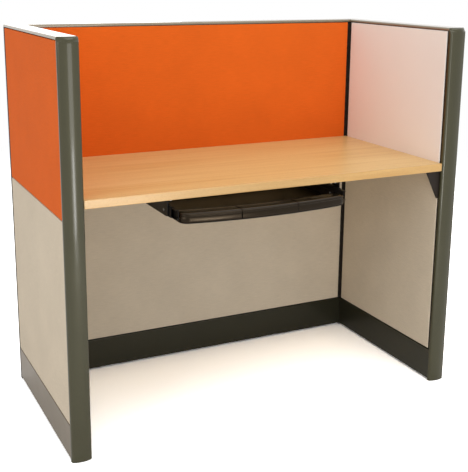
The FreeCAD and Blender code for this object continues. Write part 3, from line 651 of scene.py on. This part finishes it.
def makeFoot(nodeName, body):
    f = levellingFoot
    low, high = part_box(nodeName)
    centre = ((low.x + high.x) / 2 * perMetre, (low.y + high.y) / 2 * perMetre, low.z * perMetre)

    def plain(radius):
        return lambda angle, height: radius

    def fluted(radius):
        return lambda angle, height: radius - f["fluteDepth"] * (0.5 - 0.5 * math.cos(f["flutes"] * angle))

    def hexagon(rounding):
        half = f["nutAcross"] / 2

        def radiusAt(angle, height):
            flat = half / math.cos((angle + math.pi / 6) % (math.pi / 3) - math.pi / 6)
            return min(flat, half * rounding)
        return radiusAt

    def thread(angle, height):
        turn = (height / f["pitch"] - angle / (2 * math.pi)) % 1
        return f["studRadius"] - f["threadDepth"] * abs(2 * turn - 1)

    base = bmesh.new()
    baseRings = [(height, (fluted if grip else plain)(f["padRadius"] - inside))
                 for height, inside, grip in f["padRings"]]
    baseRings += [(height, plain(f["hubRadius"] + outside)) for height, outside in f["hubRings"]]
    turnedShape(base, centre, baseRings, f["padSteps"])
    pad = addPiece(nodeName + "_moulded_pad", base, "foot_plastic", body, f["padSharp"])
    steel = bmesh.new()
    nutRings = [(f["nutLow"], f["nutFace"]), (f["nutLow"] + f["nutChamfer"], f["nutCorner"]),
                (f["nutHigh"] - f["nutChamfer"], f["nutCorner"]), (f["nutHigh"], f["nutFace"])]
    turnedShape(steel, centre, [(height, hexagon(rounding)) for height, rounding in nutRings], f["nutSteps"])
    length = f["studTop"] - f["studLow"]
    count = int(length / f["pitch"] * f["ringsPerTurn"])
    studRings = [(f["studLow"] + length * i / count, thread) for i in range(count)]
    studRings.append((f["studTop"], plain(f["studTip"])))
    turnedShape(steel, centre, studRings, f["studSteps"])
    stud = addPiece(nodeName + "_threaded_stud", steel, "zinc_steel", body, f["studSharp"])
    for piece in (pad, stud):
        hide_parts(nodeName)


for nodeName in sorted(nodes):
    if nodeName.endswith("_foot"):
        makeFoot(nodeName, nodeName + "_body")
print("stage 7: levelling feet made")


# Floor, world and lights
studio = {
    "worldToLight": 0.84,                  # the world's strength for light that bounces off matt surfaces
    "floorSize": 60.0,
    "floorGrey": 0.62,                     # what that light sees
    "floorToGloss": 1.0,                   # what reflections see
    "floorToCamera": 2.4,                  # what the camera sees, so that an unshadowed floor is white
    "opening": (2.4, 4.5),                 # metres out, where the seen floor turns into the plain backdrop
    "lamps": {                             # place, aim, width and height in metres, watts
        "left": ((-3.9, -2.0, 1.9), (-0.2, 0.0, 0.6), (2.2, 2.2), 36),
        "front": ((0.05, -2.3, 0.58), (0.0, 0.0, 0.65), (0.78, 1.05), 7.6),
        "front_core": ((0.05, -2.29, 0.28), (0.0, 0.0, 0.5), (0.34, 0.46), 4.4),
        "top": ((0.4, -1.2, 3.4), (0.1, 0.0, 0.7), (2.2, 1.6), 22),
        "back": ((0.7, 5.2, 1.75), (-0.6, 0.0, 1.2), (2.4, 1.6), 15),
    },
}
white = (1, 1, 1, 1)


# two sockets: 1 for camera rays only, and 1 for rays of the camera, reflections and clear surfaces
def rayKinds(tree):
    path = addNode(tree, "ShaderNodeLightPath", {})
    seen = compute(tree, "ADD", path.outputs["Is Camera Ray"], path.outputs["Is Glossy Ray"])
    seenAll = addNode(tree, "ShaderNodeMath", {
        "operation": "ADD", "use_clamp": True, 0: seen, 1: path.outputs["Is Transmission Ray"]})
    return path.outputs["Is Camera Ray"], seenAll.outputs[0]


def makeWorld():
    world = bpy.data.worlds.new("studio")
    bpy.context.scene.world = world
    tree = clearTree(world)
    seenAll = rayKinds(tree)[1]
    light = addNode(tree, "ShaderNodeBackground", {
        "Color": white, "Strength": mapRange(tree, seenAll, (studio["worldToLight"], 1.0))})
    addNode(tree, "ShaderNodeOutputWorld", {"Surface": light.outputs[0]})


def makeFloor():
    mesh = bpy.data.meshes.new("floor")
    half = studio["floorSize"] / 2
    corners = [(-half, -half, 0), (half, -half, 0), (half, half, 0), (-half, half, 0)]
    mesh.from_pydata(corners, [], [(0, 1, 2, 3)])
    floor = bpy.data.objects.new("floor", mesh)
    bpy.context.scene.collection.objects.link(floor)
    material = bpy.data.materials.new("matt_white_studio_floor")
    tree = clearTree(material)
    byCamera, seenAll = rayKinds(tree)
    gloss = mapRange(tree, seenAll, (studio["floorGrey"], studio["floorToGloss"]))
    level = mixNumbers(tree, byCamera, gloss, studio["floorToCamera"])
    grey = addNode(tree, "ShaderNodeCombineColor", {0: level, 1: level, 2: level})
    matt = addNode(tree, "ShaderNodeBsdfDiffuse", {"Color": grey.outputs[0]})
    backdrop = addNode(tree, "ShaderNodeEmission", {"Color": white, "Strength": 1.0})
    spot = addNode(tree, "ShaderNodeTexCoord", {}).outputs["Object"]
    away = addNode(tree, "ShaderNodeVectorMath", {"operation": "LENGTH", 0: spot}).outputs["Value"]
    opening = mapRange(tree, away, (0.0, 1.0), studio["opening"], curve="SMOOTHSTEP")
    far = compute(tree, "MULTIPLY", opening, seenAll)
    mixed = addNode(tree, "ShaderNodeMixShader", {0: far, 1: matt.outputs[0], 2: backdrop.outputs[0]})
    addNode(tree, "ShaderNodeOutputMaterial", {"Surface": mixed.outputs[0]})
    mesh.materials.append(material)


def makeLamp(name, place, aim, size, watts):
    data = bpy.data.lights.new(name, "AREA")
    data.shape = "RECTANGLE"
    data.size, data.size_y = size
    data.energy = watts
    lamp = bpy.data.objects.new(name, data)
    bpy.context.scene.collection.objects.link(lamp)
    lamp.location = place
    lamp.rotation_euler = (Vector(aim) - Vector(place)).to_track_quat("-Z", "Y").to_euler()


makeWorld()
makeFloor()
for name, setup in studio["lamps"].items():
    makeLamp(name, *setup)
bpy.context.scene.view_settings.view_transform = "Standard"
print("stage 8: floor, world and lamps set")
